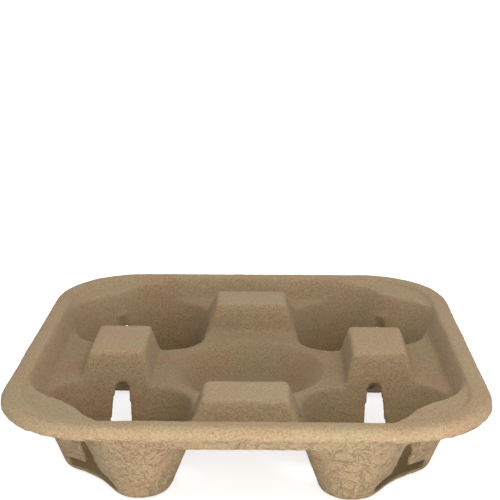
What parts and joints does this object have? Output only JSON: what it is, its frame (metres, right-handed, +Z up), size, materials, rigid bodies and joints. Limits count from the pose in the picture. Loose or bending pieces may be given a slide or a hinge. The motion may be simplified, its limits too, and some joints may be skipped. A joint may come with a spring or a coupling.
{
  "type": "moulded pulp cup carrier",
  "caption": "Square moulded-pulp tray with lobed cup pockets, raised dividing posts, a dished middle, slotted walls and a rolled lip.",
  "frame": {"origin": "middle of the tray on the table it stands on", "axes": "+Z up, +X to the right and -Y towards a person in front of it"},
  "size_m": [0.215, 0.215, 0.045],
  "materials": {
    "pulp": "matt, fibrous"
  },
  "bodies": {
    "root": {"cup_carrier": "pulp"}
  },
  "joints": []
}
